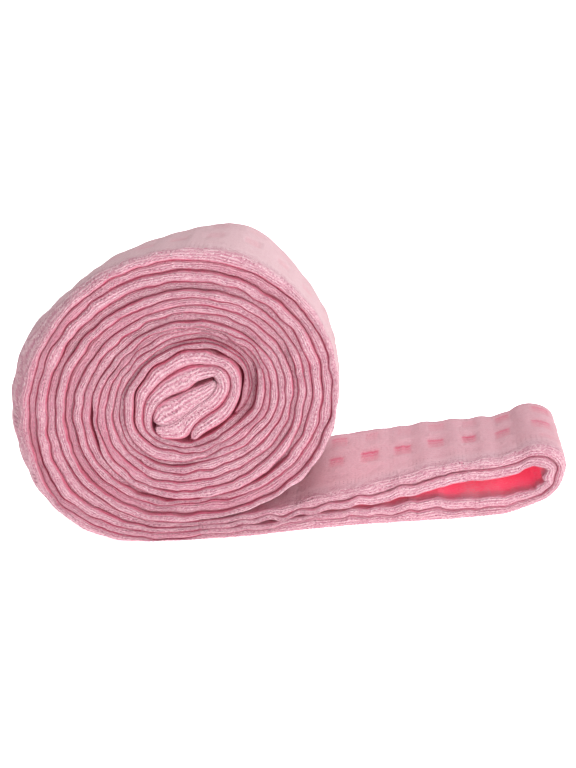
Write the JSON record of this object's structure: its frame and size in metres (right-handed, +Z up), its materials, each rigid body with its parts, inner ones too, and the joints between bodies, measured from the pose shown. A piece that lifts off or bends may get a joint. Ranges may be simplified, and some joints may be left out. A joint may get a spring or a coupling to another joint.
{
  "type": "robe tie",
  "caption": "Soft waffle-weave cotton robe tie, a flat sewn tube folded end to end and rolled up; it stands on its rim with the looped fold left as a short tail.",
  "frame": {"origin": "middle of the bounding box's footprint, on the surface that the roll stands on", "axes": "+X from the roll towards the fold at the tail's end, +Y across the tie from the spiral's front to its back, +Z up"},
  "size_m": [0.175, 0.0671, 0.0971],
  "materials": {
    "lower_face_cotton": "soft matte waffle weave",
    "lower_back_cotton": "soft matte waffle weave",
    "upper_back_cotton": "soft matte waffle weave",
    "upper_face_cotton": "soft matte waffle weave"
  },
  "bodies": {
    "root": {"lower_face_ply_turn_1": "lower_face_cotton", "lower_face_ply_turn_2": "lower_face_cotton", "lower_face_ply_turn_3": "lower_face_cotton", "lower_face_ply_tail": "lower_face_cotton", "lower_face_ply_end": "lower_face_cotton", "face_ply_fold": "lower_face_cotton", "lower_back_ply_turn_1": "lower_back_cotton", "lower_back_ply_turn_2": "lower_back_cotton", "lower_back_ply_turn_3": "lower_back_cotton", "lower_back_ply_tail": "lower_back_cotton", "lower_back_ply_end": "lower_back_cotton", "back_ply_fold": "lower_back_cotton", "upper_back_ply_turn_1": "upper_back_cotton", "upper_back_ply_turn_2": "upper_back_cotton", "upper_back_ply_turn_3": "upper_back_cotton", "upper_back_ply_tail": "upper_back_cotton", "upper_back_ply_end": "upper_back_cotton", "upper_face_ply_turn_1": "upper_face_cotton", "upper_face_ply_turn_2": "upper_face_cotton", "upper_face_ply_turn_3": "upper_face_cotton", "upper_face_ply_tail": "upper_face_cotton", "upper_face_ply_end": "upper_face_cotton", "upper_end_hem": "upper_face_cotton"}
  },
  "joints": []
}
